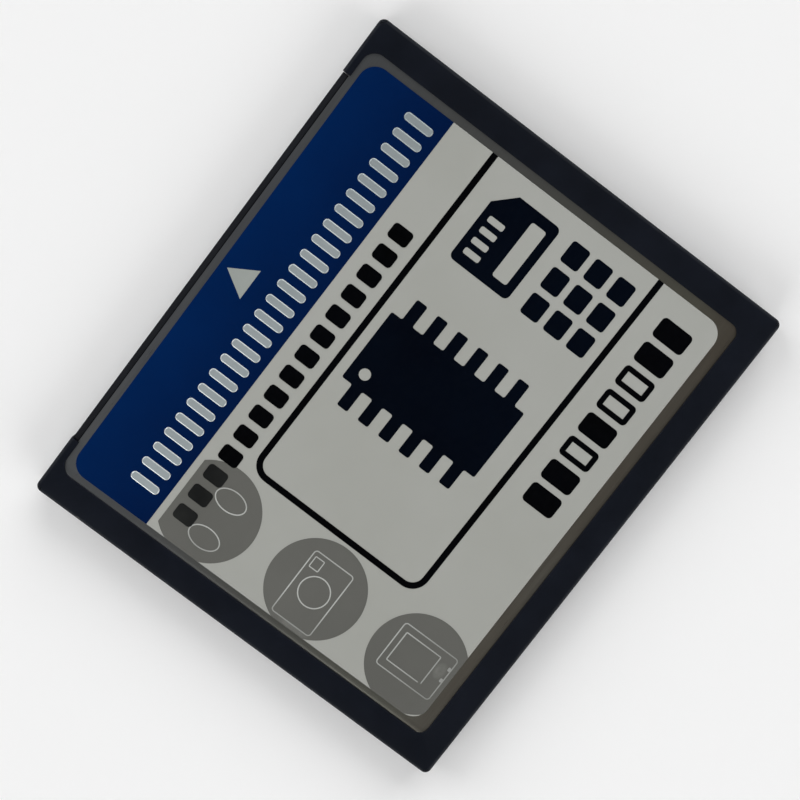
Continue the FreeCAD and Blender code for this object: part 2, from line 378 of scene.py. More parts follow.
floor_shape = bmesh.new()
rim_points = bmesh.ops.create_grid(floor_shape, x_segments=1, y_segments=1, size=1.0)["verts"]
opening_half = (cad_high.x - opening_margin, cad_high.y - opening_margin, 1)
bmesh.ops.scale(floor_shape, vec=opening_half, verts=rim_points)
opening = floor_shape.faces[:]
rim = floor_shape.edges[:]
for reach, height in sweep_steps:
    made = bmesh.ops.extrude_edge_only(floor_shape, edges=rim)["geom"]
    rim = [part for part in made if isinstance(part, bmesh.types.BMEdge)]
    rim_points = [part for part in made if isinstance(part, bmesh.types.BMVert)]
    for point in rim_points:
        point.co = (math.copysign(reach, point.co.x), math.copysign(reach, point.co.y), height)
bmesh.ops.delete(floor_shape, geom=opening, context="FACES_ONLY")
bmesh.ops.translate(floor_shape, vec=(0, 0, -floor_drop), verts=floor_shape.verts)
bmesh.ops.recalc_face_normals(floor_shape, faces=floor_shape.faces)
if min(floor_shape.faces, key=lambda face: face.calc_center_median().z).normal.z < 0:
    bmesh.ops.reverse_faces(floor_shape, faces=floor_shape.faces)

floor = add_object(floor_shape, "floor", floor_paint)
floor.data.shade_smooth()
print("floor half width in m:", floor_half)

# %% [markdown]
# The light is soft and plain. Four wide lamps stand round the card, well off the vertical, so the flat dark
# steel and plastic mirror the dim sky above them and stay dark, while the printed film is lit as brightly as
# its colours are written. Sun lamps with a wide angle are used because they light the whole floor evenly.

# %% The lamps
lamp_lean = math.radians(58)
lamp_spread = math.radians(45)
lamps = {
    "lamp_right": ((1, 0.2), 1.55),
    "lamp_left": ((-1, 0.1), 1.20),
    "lamp_front": ((0.1, 1), 1.20),
    "lamp_back": ((-0.1, -1), 1.02),
}

for name, (towards, strength) in lamps.items():
    data = bpy.data.lights.new(name, "SUN")
    data.energy = strength
    data.angle = lamp_spread
    lamp = bpy.data.objects.new(name, data)
    standing = Vector((*towards, 0)).normalized() * math.sin(lamp_lean)
    standing.z = math.cos(lamp_lean)
    lamp.rotation_euler = (-standing).to_track_quat("-Z", "Y").to_euler()
    scene.collection.objects.link(lamp)
print("lamps:", len(lamps))

# %% [markdown]
# The sky is dim all round and above, because dark steel mirrors it. Only the steep part of the sky below is
# bright, so that it lights the underside and doesn't shine through the gap under the socket.

# %% The sky
sky_level = 0.12
under_level = 0.90
under_steepness = -0.35

world = bpy.data.worlds.new("studio")
world.use_nodes = True
nodes = world.node_tree.nodes
sky = nodes["Background"]
sky.inputs["Color"].default_value = (1, 1, 1, 1)
direction = along_axes(nodes.new("ShaderNodeTexCoord").outputs["Generated"])
below = work_out("LESS_THAN", direction["Z"], under_steepness)
connect(spread(below, sky_level, under_level), sky.inputs["Strength"])
scene.world = world
print("sky level:", sky_level, "and below:", under_level)

# %% [markdown]
# Black moulded plastic. The frame is injection moulded in black with a blue cast. The tool was spark eroded,
# so the surface has a fine even grain, and handling has rubbed the outer edges paler; that paler tone is also
# a painted highlight on the edges. A flat black would look like a hole, so tone, roughness and height all
# vary.

# %% Black moulded plastic
card_middle = (cad_low + cad_high) / 2
card_half_size = (cad_high - cad_low) / 2
wear_and_highlight_reach = 0.3 * mm
dust_colour = paint(92, 92, 88)
plastic_dust = 0.4
plastic_roughness = (0.42, 0.58)
spark_depth = 0.006 * mm


def moulded_plastic(name, dark, light, wear_and_highlight_tone, wear_and_highlight_share):
    material, surface, place = start_material(name)
    tone = grain_at(place, scale=260.0, detail=4.0)
    grain = grain_at(place, scale=8000.0, detail=2.0)
    wear_and_highlight = place_group(edge_wear_and_highlight_group, place, Middle=card_middle, Half_Size=card_half_size, Reach=wear_and_highlight_reach)
    dust = specks_at(place, scale=420.0, share=0.10, size=0.10)
    colour = blend_colours(tone, dark, light)
    # rubbed wear and a painted edge highlight: the outer edges blend to a lighter tone
    colour = blend_colours(times(wear_and_highlight, wear_and_highlight_share), colour, wear_and_highlight_tone)
    colour = blend_colours(times(dust, plastic_dust), colour, dust_colour)
    set_look(surface, colour, grain, plastic_roughness)
    surface.inputs["Specular IOR Level"].default_value = 0.10
    raise_bumps(surface, grain, strength=0.25, depth=spark_depth)
    return material


# the third colour is the rubbed edge tone, which also serves as a painted edge highlight
frame_plastic = moulded_plastic(
    "black moulded plastic", paint(9, 13, 21), paint(16, 20, 29), paint(58, 62, 68), wear_and_highlight_share=0.4)
socket_plastic = moulded_plastic(
    "black socket plastic", paint(21, 22, 26), paint(28, 29, 33), paint(48, 50, 54), wear_and_highlight_share=0.2)
print("finishes:", frame_plastic.name, "and", socket_plastic.name)

# %% [markdown]
# Satin steel. The covers are thin stainless sheet with a dull rolled finish. The rolled lines change the tone
# and the roughness a little, and the tone drifts from brown at the back over olive to a cool grey at the
# socket end. The colour is also painted lighter at the left and darker to the right, a painted light and
# shade. The underside is plainer, with a grey for brown and olive. The lines are far too fine to model, so
# they are noise. The upper sheet also rises a little where it meets the frame on the left, most towards the
# back, and catches the light there, so a bump tilts it.

# %% Satin steel
dish_left = -19.13 * mm
dish_width = 0.52 * mm
dish_height = 0.112 * mm
dish_back, dish_front = -9.0 * mm, 15.0 * mm
front_share = 0.62
line_share = 0.0010
olive_back, olive_front = -15.5 * mm, -12.5 * mm
# levels of painted light at the left and painted shade at the right
painted_light_left_level, painted_shade_right_level = 1.13, 0.95
tint_shares = (0.45, 0.75)
steel_roughness = (0.27, 0.32)


def satin_steel(name, dark, light, back_tint, olive_tint, cool_tint, dished):
    material, surface, place = start_material(name)
    axes = along_axes(place)
    lines = lines_at(place, along=150.0, across=14000.0)
    hair = lines_at(place, along=420.0, across=2600.0)
    drift = grain_at(place, scale=70.0, detail=2.0)
    towards_socket = between(axes["Y"], olive_front, cad_high.y)
    tint = blend_colours(towards_socket, olive_tint, cool_tint)
    off_back = between(axes["Y"], olive_back, olive_front)
    tint = blend_colours(off_back, back_tint, tint)
    tint_share = spread(drift, *tint_shares)
    colour = blend_colours(tint_share, blend_colours(lines, dark, light), tint)
    # painted light and shade: the steel colour is made lighter at the left and darker at the right
    level = between(axes["X"], cad_low.x, cad_high.x, painted_light_left_level, painted_shade_right_level)
    colour = on_vectors("MULTIPLY", colour, level)
    set_look(surface, colour, middle_of(lines, hair), steel_roughness)
    surface.inputs["Metallic"].default_value = 1.0
    height = times(lines, line_share)
    if dished:
        rise = between(axes["X"], dish_left + dish_width, dish_left)
        fade = between(axes["Y"], dish_back, dish_front, 1.0, front_share)
        dish = times(times(rise, rise), fade)
        height = work_out("ADD", height, dish)
    raise_bumps(surface, height, strength=1.0, depth=dish_height)
    return material


steel_tones = (paint(150, 152, 146), paint(162, 164, 157))
brown, olive, cool = paint(141, 128, 111), paint(152, 148, 131), paint(137, 141, 153)
plain_grey = paint(147, 147, 142)
upper_steel = satin_steel("satin steel", *steel_tones, brown, olive, cool, dished=True)
lower_steel = satin_steel("satin steel underside", *steel_tones, plain_grey, plain_grey, cool, dished=False)
print("finishes:", upper_steel.name, "and", lower_steel.name)

# %% [markdown]
# Edges that catch the light. A moulded frame has no knife edges, and the thin bright lines on its edges are
# what makes it look real. The solids have small flat chamfers. A copy of each frame half is merged back into
# whole faces, and a Bevel modifier rounds every sharp edge by its own weight: the outer edges more, the small
# inner ones less. The copy is shown in place of the node, which is hidden but kept. The copy stands for the
# node, which stays for collision.

# %% Frame halves with rounded edges
merge_distance = 1e-7
flat_angle = math.radians(0.5)
sharp_angle = math.radians(30)
outer_round = 0.08 * mm
inner_round = 0.03 * mm
edge_reach = 0.25 * mm


def add_piece(shape, name, material):
    piece = add_object(shape, name, material)
    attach(piece, "root")
    return piece


def is_outer(edge):
    for end in edge.verts:
        from_side = min(cad_high.x - abs(end.co.x), cad_high.y - abs(end.co.y))
        from_face = min(end.co.z - cad_low.z, cad_high.z - end.co.z)
        if max(from_side, from_face) > edge_reach:
            return False
    return True


def round_all_edges(node, name, material):
    shape = bmesh.new()
    shape.from_mesh(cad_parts[node].data)
    bmesh.ops.remove_doubles(shape, verts=shape.verts, dist=merge_distance)
    bmesh.ops.join_triangles(shape, faces=shape.faces, angle_face_threshold=flat_angle,
                             angle_shape_threshold=math.pi)
    weight = shape.edges.layers.float.new("bevel_weight_edge")
    for edge in shape.edges:
        if edge.calc_face_angle(0) > sharp_angle:
            edge[weight] = 1.0 if is_outer(edge) else inner_round / outer_round
    for face in shape.faces:
        face.smooth = True
    piece = add_piece(shape, name, material)
    rounding = piece.modifiers.new("rounded edges", "BEVEL")
    rounding.width = outer_round
    rounding.segments = 3
    rounding.limit_method = "WEIGHT"
    rounding.use_clamp_overlap = False
    rounding.loop_slide = False
    rounding.harden_normals = True
    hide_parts(node)
    print(name, "faces before rounding:", len(piece.data.polygons))


round_all_edges("upper_frame", "upper_frame_rounded", frame_plastic)
round_all_edges("lower_frame", "lower_frame_rounded", frame_plastic)

# %% [markdown]
# The metal inside. Contacts are gold plated, leads are tinned, and both are seen at best through the sockets.
# Each is still a finished metal, with a slow change of tone and a roughness that varies.

# %% Gold and tin
def plated_metal(name, dark, light, roughness):
    material, surface, place = start_material(name)
    tone = grain_at(place, scale=700.0, detail=3.0)
    wipe = lines_at(place, along=6000.0, across=700.0)
    set_look(surface, blend_colours(tone, dark, light), wipe, roughness)
    surface.inputs["Metallic"].default_value = 1.0
    return material


contact_gold = plated_metal(
    "gold plating", paint(196, 152, 72), paint(222, 182, 98), roughness=(0.2, 0.36))
lead_tin = plated_metal(
    "tin plating", paint(168, 170, 172), paint(196, 198, 200), roughness=(0.28, 0.45))
print("finishes:", contact_gold.name, "and", lead_tin.name)

# %% [markdown]
# The board is green lacquer over glass cloth. The weave shows faintly through the lacquer, so two waves at
# right angles change the tone and the height by a little.

# %% Board laminate
weave_depth = 0.01 * mm
lacquer_roughness = (0.28, 0.42)


def lacquered_laminate(name, dark, light, weave_scale):
    material, surface, place = start_material(name)
    heights = []
    for axis in ("X", "Y"):
        wave = place.id_data.nodes.new("ShaderNodeTexWave")
        wave.bands_direction = axis
        wave.inputs["Scale"].default_value = weave_scale
        connect(place, wave.inputs["Vector"])
        heights.append(wave.outputs["Fac"])
    weave = times(*heights)
    tone = grain_at(place, scale=200.0, detail=3.0)
    colour = blend_colours(middle_of(weave, tone), dark, light)
    set_look(surface, colour, tone, lacquer_roughness)
    raise_bumps(surface, weave, strength=0.2, depth=weave_depth)
    return material


board_green = lacquered_laminate(
    "green lacquered laminate", paint(14, 58, 36), paint(28, 84, 52), weave_scale=500.0)
print("finish:", board_green.name)

# %% [markdown]
# Package resin is a matt black filled with glass powder, which gives it a very fine grain. The amber film
# that keeps the covers off the leads is built in the same way with other values.

# %% Resin and insulating film
powder_depth = 0.004 * mm


def matt_resin(name, dark, light, roughness):
    material, surface, place = start_material(name)
    tone = grain_at(place, scale=500.0, detail=4.0)
    powder = grain_at(place, scale=12000.0, detail=1.0)
    set_look(surface, blend_colours(tone, dark, light), powder, roughness)
    raise_bumps(surface, powder, strength=0.2, depth=powder_depth)
    return material


package_resin = matt_resin(
    "matt package resin", paint(20, 20, 22), paint(30, 30, 32), roughness=(0.55, 0.75))
insulator_film = matt_resin(
    "amber insulating film", paint(150, 92, 30), paint(178, 116, 44), roughness=(0.25, 0.4))
print("finishes:", package_resin.name, "and", insulator_film.name)

# %% [markdown]
# The small ceramic parts have metal end caps. The caps could be pieces of their own, but a mask is enough at
# this size: the far ends of each part, along its length, switch to tin.

# %% Ceramics with metal caps
body_share = 0.6
cap_tin = paint(186, 188, 190)
ceramic_roughness = (0.32, 0.5)
capacitor_tones = (paint(150, 116, 78), paint(176, 140, 98))
resistor_tones = (paint(24, 24, 27), paint(38, 38, 42))


def capped_ceramic(node, tones):
    low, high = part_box(node)
    middle = (low.y + high.y) / 2
    body_half = (high.y - low.y) / 2 * body_share
    material, surface, place = start_material(node + " ceramic")
    off_middle = work_out("SUBTRACT", along_axes(place)["Y"], middle)
    cap = work_out("GREATER_THAN", work_out("ABSOLUTE", off_middle), body_half)
    tone = grain_at(place, scale=1500.0, detail=3.0)
    ceramic = blend_colours(tone, *tones)
    set_look(surface, blend_colours(cap, ceramic, cap_tin), tone, ceramic_roughness)
    connect(cap, surface.inputs["Metallic"])
    return material


ceramics = {}
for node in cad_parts:
    if node.startswith("capacitor_"):
        ceramics[node] = capped_ceramic(node, capacitor_tones)
    if node.startswith("resistor_"):
        ceramics[node] = capped_ceramic(node, resistor_tones)
print("finishes for ceramic parts:", len(ceramics))

# %% [markdown]
# The solids that keep their own shape get these finishes. Each node's material slots are filled with one
# material, so nothing of the plain import is left.

# %% Dress the nodes
finishes = {
    "upper_cover": upper_steel,
    "lower_cover": lower_steel,
    "connector_housing": socket_plastic,
    "upper_contacts": contact_gold,
    "lower_contacts": contact_gold,
    "circuit_board": board_green,
    "upper_insulator": insulator_film,
    "lower_insulator": insulator_film,
    **ceramics,
}
for package in ("upper_flash", "lower_flash", "controller"):
    finishes[package + "_body"] = package_resin
    finishes[package + "_leads"] = lead_tin

for node, material in finishes.items():
    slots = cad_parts[node].material_slots
    for slot in slots:
        slot.material = material
    if not slots:
        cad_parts[node].data.materials.append(material)
print("dressed nodes:", len(finishes))

# %% [markdown]
# Film and print are thin plates, drawn in millimetres. They start as flat faces. Beveling their corner points
# rounds them, extruding gives the thickness, a bevel of the upper edges softens the film and the silver bars,
# and one last scale turns millimetres into metres.

# %% Shapes for film and print
height_tolerance = 0.001


def rectangle(shape, left, right, back, front):
    corners = bmesh.ops.create_grid(shape, x_segments=1, y_segments=1, size=0.5)["verts"]
    bmesh.ops.scale(shape, vec=(right - left, front - back, 1), verts=corners)
    bmesh.ops.translate(shape, vec=((left + right) / 2, (back + front) / 2, 0), verts=corners)
    return corners


def round_corners(shape, corners, radius, steps=5):
    bmesh.ops.bevel(shape, geom=corners, offset=radius, offset_type="OFFSET", segments=steps, profile=0.5,
                    affect="VERTICES", material=-1)


def thicken(shape, low, high):
    bmesh.ops.translate(shape, vec=(0, 0, low), verts=shape.verts)
    raised = bmesh.ops.extrude_face_region(shape, geom=list(shape.faces), use_keep_orig=True)["geom"]
    top = [part for part in raised if isinstance(part, bmesh.types.BMVert)]
    bmesh.ops.translate(shape, vec=(0, 0, high - low), verts=top)
    bmesh.ops.recalc_face_normals(shape, faces=shape.faces)


def soften_top(shape, top, width):
    level = top - height_tolerance
    border = [edge for edge in shape.edges if min(end.co.z for end in edge.verts) > level]
    bmesh.ops.bevel(shape, geom=border, offset=width, offset_type="OFFSET", segments=2, profile=0.5,
                    affect="EDGES", material=-1)


def add_plates(shape, name, material, low, high, softened=0.0):
    thicken(shape, low, high)
    if softened:
        soften_top(shape, high, softened)
    bmesh.ops.scale(shape, vec=(mm, mm, mm), verts=shape.verts)
    piece = add_piece(shape, name, material)
    print(name, "faces:", len(piece.data.polygons))
    return piece


label_low, label_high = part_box("front_label")
label_left, label_right = label_low.x / mm, label_high.x / mm
label_back, label_front = label_low.y / mm, label_high.y / mm
film_bottom, film_top = label_low.z / mm, label_high.z / mm
print("label in mm:", round(label_right - label_left, 2), "by", round(label_front - label_back, 2))

# %% [markdown]
# The label film is a white plastic sheet with round corners, a tenth of a millimetre thick, stuck on the
# steel. Its cut edge is softened a little and then shows as a fine pale line. The white has a slow mottle, a
# faint ripple and a few specks of dust.

# %% The label film
film_corner = 1.32
film_steps = 10
film_edge = 0.03
film_tones = (paint(160, 161, 155), paint(165, 166, 161))
film_roughness = (0.30, 0.42)
film_dust_colour = paint(112, 114, 110)
film_dust = 0.5
ripple_depth = 0.01 * mm

white_film, surface, place = start_material("white label film")
ripple = grain_at(place, scale=900.0, detail=2.0)
dust = specks_at(place, scale=260.0, share=0.06, size=0.035)
white = blend_colours(grain_at(place, scale=90.0, detail=3.0), *film_tones)
white = blend_colours(times(dust, film_dust), white, film_dust_colour)
set_look(surface, white, ripple, film_roughness)
surface.inputs["Specular IOR Level"].default_value = 0.4
raise_bumps(surface, ripple, strength=0.06, depth=ripple_depth)

film = bmesh.new()
corners = rectangle(film, label_left, label_right, label_back, label_front)
round_corners(film, corners, film_corner, film_steps)
label_film = add_plates(film, "label_film", white_film, film_bottom, film_top, film_edge)
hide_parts("front_label")

# %% [markdown]
# Inks. The film is screen printed, so each ink is an even coat with a slight mottle. The border and the rows
# are plain black, the large symbols a navy black, and black under the grey of a disc looks veiled. The arrow
# is pale.

# %% Inks
black_roughness = (0.36, 0.48)
ink_roughness = (0.34, 0.46)
coat_depth = 0.004 * mm


def mottle(place):
    return grain_at(place, scale=160.0, detail=4.0)


def ink_finish(name, tones, roughness):
    material, surface, place = start_material(name)
    coat = grain_at(place, scale=2500.0, detail=2.0)
    colour = blend_colours(mottle(place), *tones)
    set_look(surface, colour, coat, roughness)
    surface.inputs["Specular IOR Level"].default_value = 0.05
    raise_bumps(surface, coat, strength=0.08, depth=coat_depth)
    return material, surface, place, colour


black_ink = ink_finish("black label ink", (paint(0, 0, 0), paint(1, 2, 5)), black_roughness)[0]
navy_ink = ink_finish("navy black label ink", (paint(0, 3, 12), paint(1, 6, 17)), black_roughness)[0]
veiled_ink = ink_finish("black ink under grey", (paint(22, 23, 23), paint(40, 41, 40)), ink_roughness)[0]
pale_ink = ink_finish("pale arrow ink", (paint(148, 153, 149), paint(160, 164, 160)), ink_roughness)[0]
print("inks:", black_ink.name, navy_ink.name, veiled_ink.name, pale_ink.name)

# %% [markdown]
# Smudged grey. The grey of the discs is rubbed paler in two places near the edge of the film. Each smudge is
# a soft oval spot, broken up by grain, that takes the ink towards a paler tone.

# %% Smudged grey ink
grey_tones = (paint(95, 95, 91), paint(100, 100, 96))
smudge_tone = paint(128, 129, 124)
smudge_places = {"handheld": ((-14.35, -14.10), (0.75, 0.50)), "camera": ((-18.37, -3.40), (0.30, 1.50))}
smudge_share = 0.55
spot_core = 0.2


def soft_spot(axes, middle, reach):
    across = work_out("SUBTRACT", axes["X"], middle[0] * mm)
    along = work_out("SUBTRACT", axes["Y"], middle[1] * mm)
    across = work_out("DIVIDE", across, reach[0] * mm)
    along = work_out("DIVIDE", along, reach[1] * mm)
    squared = work_out("MULTIPLY_ADD", across, across, times(along, along))
    return between(squared, 1.0, spot_core)


grey_ink, surface, place, grey = ink_finish("grey label ink", grey_tones, ink_roughness)
axes = along_axes(place)
spots = [soft_spot(axes, *spot) for spot in smudge_places.values()]
patches = grain_at(place, scale=1400.0, detail=3.0)
smudge = times(work_out("ADD", *spots), patches)
smudge = times(smudge, smudge_share)
connect(blend_colours(smudge, grey, smudge_tone), surface.inputs["Base Color"])
print("ink:", grey_ink.name)

# %% [markdown]
# Worn pale ink. The fine drawings are printed in a pale ink that is worn at the sides and at the back, and
# right through at one spot. Wear blends it into the grey below.

# %% Worn pale ink
pale_tones = (paint(172, 174, 170), paint(182, 184, 180))
worn_tone = paint(98, 98, 94)
drawing_column = -14.8 * mm
side_start, side_end = 1.2 * mm, 3.4 * mm
back_start, back_end = -9.0 * mm, -15.0 * mm
most_wear = 0.5
worn_spot = ((-16.03, -13.42), (0.16, 0.20))

drawn_ink, surface, place, pale = ink_finish("worn pale ink", pale_tones, ink_roughness)
axes = along_axes(place)
off_column = work_out("ABSOLUTE", work_out("SUBTRACT", axes["X"], drawing_column))
side_wear = between(off_column, side_start, side_end, 0.0, most_wear)
back_wear = between(axes["Y"], back_start, back_end, 0.0, most_wear)
wear = work_out("ADD", side_wear, back_wear)
wear = work_out("MAXIMUM", wear, soft_spot(axes, *worn_spot))
connect(blend_colours(wear, pale, worn_tone), surface.inputs["Base Color"])
print("ink:", drawn_ink.name)

# %% [markdown]
# Blue ink. The blue of the band is deeper towards its lower edge, so two blues blend along the card. A few
# specks of dust lie on it.

# %% Blue ink
deep_blues = (paint(0, 21, 60), paint(0, 24, 65))
open_blues = (paint(0, 30, 75), paint(0, 33, 80))
blue_roughness = (0.30, 0.42)
deep_until, open_from = 10.0 * mm, 17.0 * mm
blue_dust = 0.25

blue_ink, surface, place, deep_blue = ink_finish("blue label ink", deep_blues, blue_roughness)
open_blue = blend_colours(mottle(place), *open_blues)
towards_front = between(along_axes(place)["Y"], deep_until, open_from)
blue = blend_colours(towards_front, deep_blue, open_blue)
dust = specks_at(place, scale=300.0, share=0.12, size=0.03)
blue = blend_colours(times(dust, blue_dust), blue, dust_colour)
connect(blue, surface.inputs["Base Color"])
print("ink:", blue_ink.name)

# %% [markdown]
# The print. It is made of plain fields and symbols, each a very thin plate with its own thickness, so it
# stays sharp in every view and is still there in an exported mesh. The real print sits slightly turned on
# its film, so band, rows, border and symbols share one small angle, and what reaches the film's edges is
# trimmed to them. Inks that cross each other end at different heights.

# %% Shapes for the print
print_turn = math.radians(-0.55)
ink_bottom = film_top - 0.002
ink_top = film_top + 0.010
over_ink_top = film_top + 0.016
last_ink_top = film_top + 0.022
cut_tolerance = 1e-6


def disc(shape, across, along, radius, segments=96):
    corners = bmesh.ops.create_circle(shape, cap_ends=True, segments=segments, radius=radius)["verts"]
    bmesh.ops.translate(shape, vec=(across, along, 0), verts=corners)
    return corners


def rounded_plate(shape, left, right, back, front, radius, steps=5):
    before = set(shape.faces)
    round_corners(shape, rectangle(shape, left, right, back, front), radius, steps)
    return next(face for face in shape.faces if face not in before)


def starts_in_row(count, first, last, width):
    step = (last - first - width) / (count - 1)
    return [first + number * step for number in range(count)]


def keep_outline(shape, face, line):
    bmesh.ops.inset_region(shape, faces=[face], thickness=line, use_even_offset=True, use_boundary=True)
    bmesh.ops.delete(shape, geom=[face], context="FACES")


def turn_print(shape):
    bmesh.ops.rotate(shape, cent=(0, 0, 0), matrix=Matrix.Rotation(print_turn, 3, "Z"), verts=shape.verts)


def trim(shape, point, outward):
    everything = shape.verts[:] + shape.edges[:] + shape.faces[:]
    bmesh.ops.bisect_plane(shape, geom=everything, dist=cut_tolerance, plane_co=point, plane_no=outward,
                           clear_outer=True)


print("ink over the film in mm:", [round(top - film_top, 3) for top in (ink_top, over_ink_top, last_ink_top)])

# %% [markdown]
# The blue band fills the socket end of the label, right over the film's cut edge, so it wraps the film there.
# Its lower edge is a straight cut through a copy of the film's outline, made by bisecting.

# %% The blue band
band_edge = 9.79
wrap = 0.004

band = bmesh.new()
corners = rectangle(band, label_left - wrap, label_right + wrap, label_back - wrap, label_front + wrap)
round_corners(band, corners, film_corner, film_steps)
trim(band, (0, band_edge, 0), (math.sin(print_turn), -math.cos(print_turn), 0))
add_plates(band, "blue_band", blue_ink, film_bottom, ink_top)

# %% [markdown]
# The arrow shows which end goes in first. A circle of three points is a triangle, so the arrow starts as one
# and is stretched to its size.

# %% The arrow
arrow_tip, arrow_base = 16.44, 14.33
arrow_width = 2.56
arrow_middle = 0.29

arrow = bmesh.new()
points = bmesh.ops.create_circle(arrow, cap_ends=True, segments=3, radius=1.0)["verts"]
reach_high = max(point.co.y for point in points)
reach_low = min(point.co.y for point in points)
reach_side = max(point.co.x for point in points)
stretch = (arrow_width / 2 / reach_side, (arrow_tip - arrow_base) / (reach_high - reach_low), 1)
bmesh.ops.scale(arrow, vec=stretch, verts=points)
bmesh.ops.translate(arrow, vec=(arrow_middle, arrow_tip - reach_high * stretch[1], 0), verts=points)
add_plates(arrow, "direction_arrow", pale_ink, ink_bottom, over_ink_top)

# %% [markdown]
# Silver foil. The bars in the band are stamped foil, part mirror and part paint. Their colour is painted a
# little lighter at the left, a painted light. Where the border of a bar slopes, it gets a painted highlight:
# a near white colour and more mirror, most at the left. The slope lies lower than the flat top, so a point's
# height tells the material where the slope is.

# %% Silver foil
finger_row_left, finger_row_right = -16.6, 17.1
finger_bottom, finger_top = film_top - 0.06, film_top + 0.05
slope_low, slope_high = finger_top - 0.010, finger_top - 0.002
foil_tones = (paint(156, 165, 167), paint(168, 176, 178))
foil_roughness = (0.36, 0.40)
painted_light_foil_left, painted_light_foil_right = 1.12, 0.94
painted_highlight_left, painted_highlight_right = 0.55, 0.0
painted_highlight_colour = paint(240, 242, 241)
flat_metal, slope_metal = 0.35, 0.80

silver_foil, surface, place, foil = ink_finish("silver foil", foil_tones, foil_roughness)
axes = along_axes(place)
row_ends = (finger_row_left * mm, finger_row_right * mm)
# painted light: the foil colour is lighter at the left end of the row and darker at the right
foil = on_vectors("MULTIPLY", foil, between(axes["X"], *row_ends, painted_light_foil_left, painted_light_foil_right))
on_slope = between(axes["Z"], slope_high * mm, slope_low * mm)
# painted highlight: the sloping borders blend to near white and more metal, most at the left
painted_highlight = times(on_slope, between(axes["X"], *row_ends, painted_highlight_left, painted_highlight_right))
connect(blend_colours(painted_highlight, foil, painted_highlight_colour), surface.inputs["Base Color"])
connect(spread(painted_highlight, flat_metal, slope_metal), surface.inputs["Metallic"])
print("finish:", silver_foil.name)

# %% [markdown]
# Silver fingers. A row of embossed foil bars, as many as there are contacts in a row, runs along the lower
# edge of the band. One bar is a rounded plate, a loop places it at each step of the row, and a bevel of the
# upper edges gives each bar a sloping border that catches the light and carries the foil's painted highlight.

# %% Silver fingers
finger_count = 25
finger_width = 0.70
finger_corner = 0.45 * finger_width
finger_corner_steps = 4
finger_back, finger_front = 10.45, 12.95
finger_slope = 0.10

fingers = bmesh.new()
for left in starts_in_row(finger_count, finger_row_left, finger_row_right, finger_width):
    rounded_plate(fingers, left, left + finger_width, finger_back, finger_front, finger_corner,
                  finger_corner_steps)
turn_print(fingers)
add_plates(fingers, "silver_fingers", silver_foil, finger_bottom, finger_top, finger_slope)

# %% [markdown]
# The border line is one rounded line that leaves the film at its right edge. A plate that runs past the film
# is rounded on two corners, its inside is cut away with an inset, and the film's edge trims the rest.

# %% The border line
border_left = -10.79
border_back, border_front = -9.36, 6.27
border_overrun = 5.0
border_line = 0.49
border_corner = 1.45
border_steps = 12

border = bmesh.new()
corners = rectangle(border, border_left, label_right + border_overrun, border_back, border_front)
round_corners(border, [corner for corner in corners if corner.co.x < 0], border_corner, border_steps)
keep_outline(border, border.faces[:][0], border_line)
turn_print(border)
trim(border, (label_right + wrap, 0, 0), (1, 0, 0))
add_plates(border, "border_line", black_ink, film_bottom, ink_top)

# %% [markdown]
# Three grey discs run down the left side, cut off by the film's edges and by the space under the band. A
# capped circle is trimmed by planes: one at the space under the band, and a fan of planes that follows the
# film's left side, its round corner and its back side. Like the band, the discs wrap the film's edge.

# %% Grey discs
disc_radius = 3.90
disc_places = {"upper": (-15.01, 6.77), "middle": (-14.98, -2.98), "lower": (-15.01, -12.37)}
disc_ceiling = 9.39


def trim_to_film(shape):
    corner_middle = Vector((label_left + film_corner, label_back + film_corner, 0))
    for step in range(film_steps + 1):
        angle = math.pi + step / film_steps * math.pi / 2
        outward = Vector((math.cos(angle), math.sin(angle), 0))
        trim(shape, corner_middle + outward * (film_corner + wrap), outward)


for name, (across, along) in disc_places.items():
    field = bmesh.new()
    disc(field, across, along, disc_radius)
    trim_to_film(field)
    trim(field, (across, disc_ceiling, 0), (-math.sin(print_turn), math.cos(print_turn), 0))
    add_plates(field, name + "_disc", grey_ink, film_bottom, ink_top)

# %% [markdown]
# Each disc carries a fine line drawing of something that uses such a card: two ovals for a headset, a camera
# and a handheld. They are plates and circles whose insides are cut away. A plate is given by its left, right,
# back and front, the radius of its corners and the width of its line.

# %% Line drawings
drawn_line = 0.092
fine_line = 0.08
oval_size = (0.86, 1.34, 1)
oval_places = ((-13.45, 5.97), (-16.85, 5.95))
lens_place, lens_radius = (-15.24, -3.03), 1.27
drawn_plates = {
    "camera body": ((-18.23, -12.49, -4.78, -1.18), 0.30, drawn_line),
    "camera finder": ((-13.88, -12.90, -2.34, -1.48), 0.10, fine_line),
    "handheld body": ((-16.75, -12.84, -14.79, -9.80), 0.30, drawn_line),
    "handheld screen": ((-16.08, -13.42, -13.58, -10.32), 0.12, drawn_line),
}
button_places = (-14.88, -13.85)
button_half = 0.16
button_back, button_front = -14.70, -14.49
button_corner = 0.07


def face_of(corners):
    shared = set(corners[0].link_faces)
    for corner in corners[1:]:
        shared &= set(corner.link_faces)
    return shared.pop()


drawings = bmesh.new()
for across, along in oval_places:
    oval = disc(drawings, 0, 0, 1.0, segments=48)
    bmesh.ops.scale(drawings, vec=oval_size, verts=oval)
    bmesh.ops.translate(drawings, vec=(across, along, 0), verts=oval)
    keep_outline(drawings, face_of(oval), drawn_line)
keep_outline(drawings, face_of(disc(drawings, *lens_place, lens_radius, segments=64)), drawn_line)
for sides, corner, line in drawn_plates.values():
    keep_outline(drawings, rounded_plate(drawings, *sides, corner), line)
for across in button_places:
    left, right = across - button_half, across + button_half
    rounded_plate(drawings, left, right, button_back, button_front, button_corner)
add_plates(drawings, "line_drawings", drawn_ink, ink_bottom, over_ink_top)

